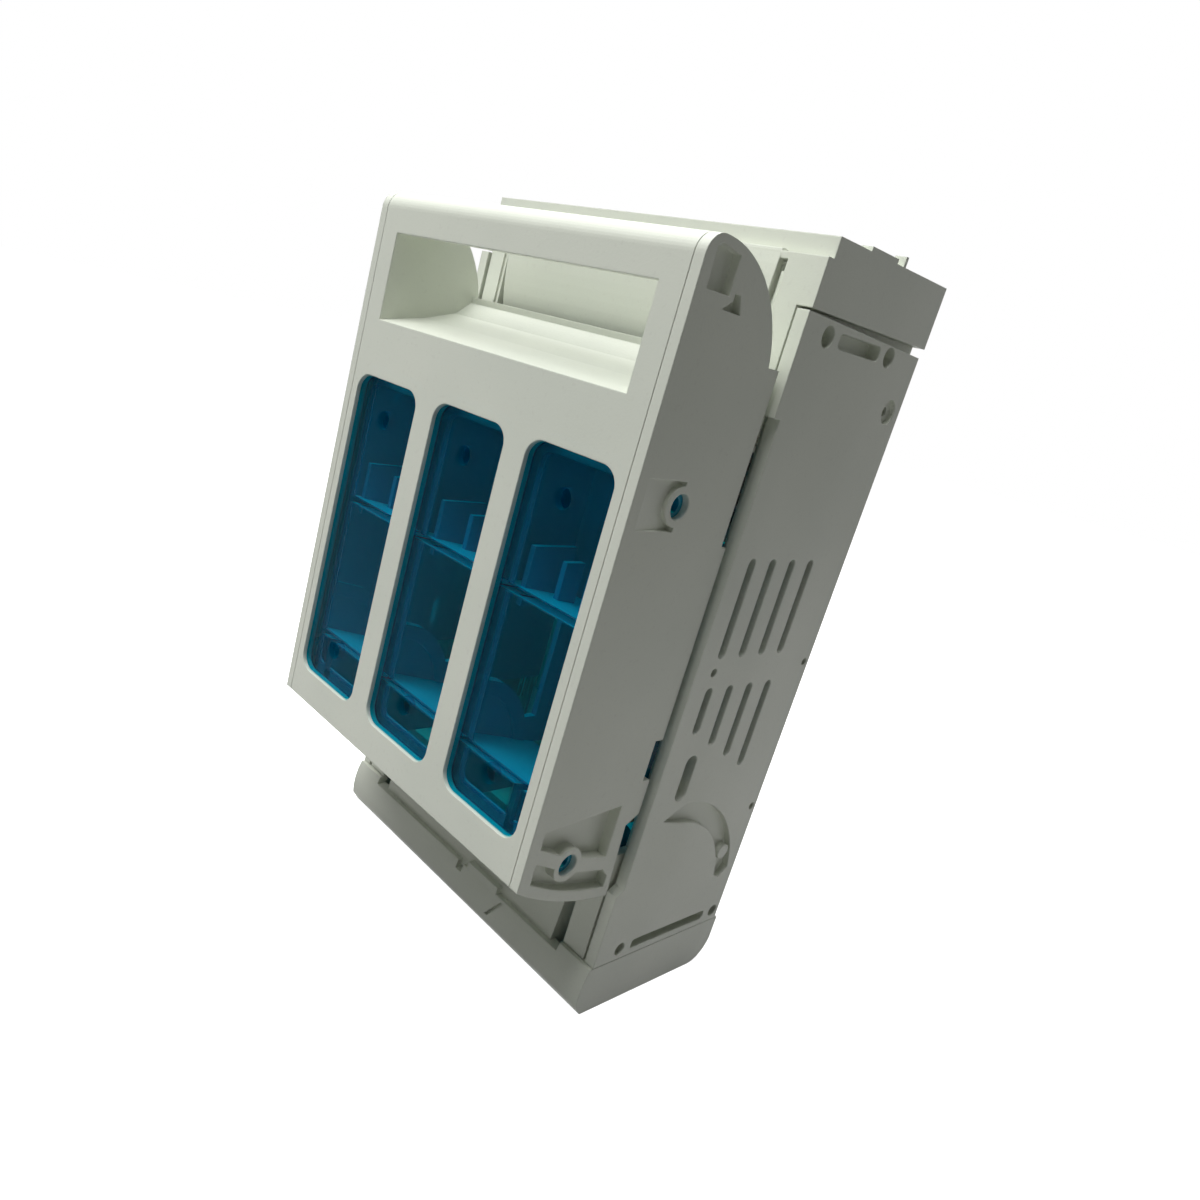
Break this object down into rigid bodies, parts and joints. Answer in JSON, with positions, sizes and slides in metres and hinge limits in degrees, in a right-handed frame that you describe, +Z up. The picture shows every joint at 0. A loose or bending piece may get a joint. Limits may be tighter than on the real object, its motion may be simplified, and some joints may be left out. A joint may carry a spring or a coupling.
{
  "type": "fuse switch disconnector",
  "caption": "Box-shaped fuse switch disconnector with a tilting lid, blue see-through windows, a finger grip and slotted side panels.",
  "frame": {"origin": "middle of the bottom of the whole object's box, lid closed", "axes": "+Z up, +X to the right seen from the front, +Y to the rear; the mounting face looks along +Y"},
  "size_m": [0.106, 0.0904, 0.1946],
  "materials": {
    "light_plastic": "fine satin moulding, pale greenish grey",
    "blue_clear_plastic": "clear dark cyan blue",
    "silvered_copper": "silver plated",
    "spring_steel": "blued spring steel",
    "zinc_steel": "zinc plated",
    "plate_steel": "plain sheet"
  },
  "bodies": {
    "base": {"base_housing": "light_plastic", "side_panel_right": "light_plastic", "side_panel_left": "light_plastic", "terminal_shroud_top": "light_plastic", "terminal_shroud_bottom": "light_plastic", "contact_jaw_upper_left": "silvered_copper", "jaw_spring_upper_left": "spring_steel", "contact_jaw_upper_middle": "silvered_copper", "jaw_spring_upper_middle": "spring_steel", "contact_jaw_upper_right": "silvered_copper", "jaw_spring_upper_right": "spring_steel", "terminal_bolts_upper": "zinc_steel", "terminal_washers_upper": "zinc_steel", "terminal_nuts_upper": "zinc_steel", "contact_jaw_lower_left": "silvered_copper", "jaw_spring_lower_left": "spring_steel", "contact_jaw_lower_middle": "silvered_copper", "jaw_spring_lower_middle": "spring_steel", "contact_jaw_lower_right": "silvered_copper", "jaw_spring_lower_right": "spring_steel", "terminal_bolts_lower": "zinc_steel", "terminal_washers_lower": "zinc_steel", "terminal_nuts_lower": "zinc_steel", "arc_plates_left": "plate_steel", "arc_plates_middle": "plate_steel", "arc_plates_right": "plate_steel"},
    "lid": {"lid_frame": "light_plastic", "lid_cheek_right": "light_plastic", "lid_cheek_left": "light_plastic", "fuse_carrier": "blue_clear_plastic"}
  },
  "joints": [
    {"name": "lid_hinge", "type": "hinge", "parent": "base", "child": "lid", "pos_m": [0, 0.00625, 0.0236], "axis": [1, 0, 0], "range_deg": [0, 72]}
  ]
}
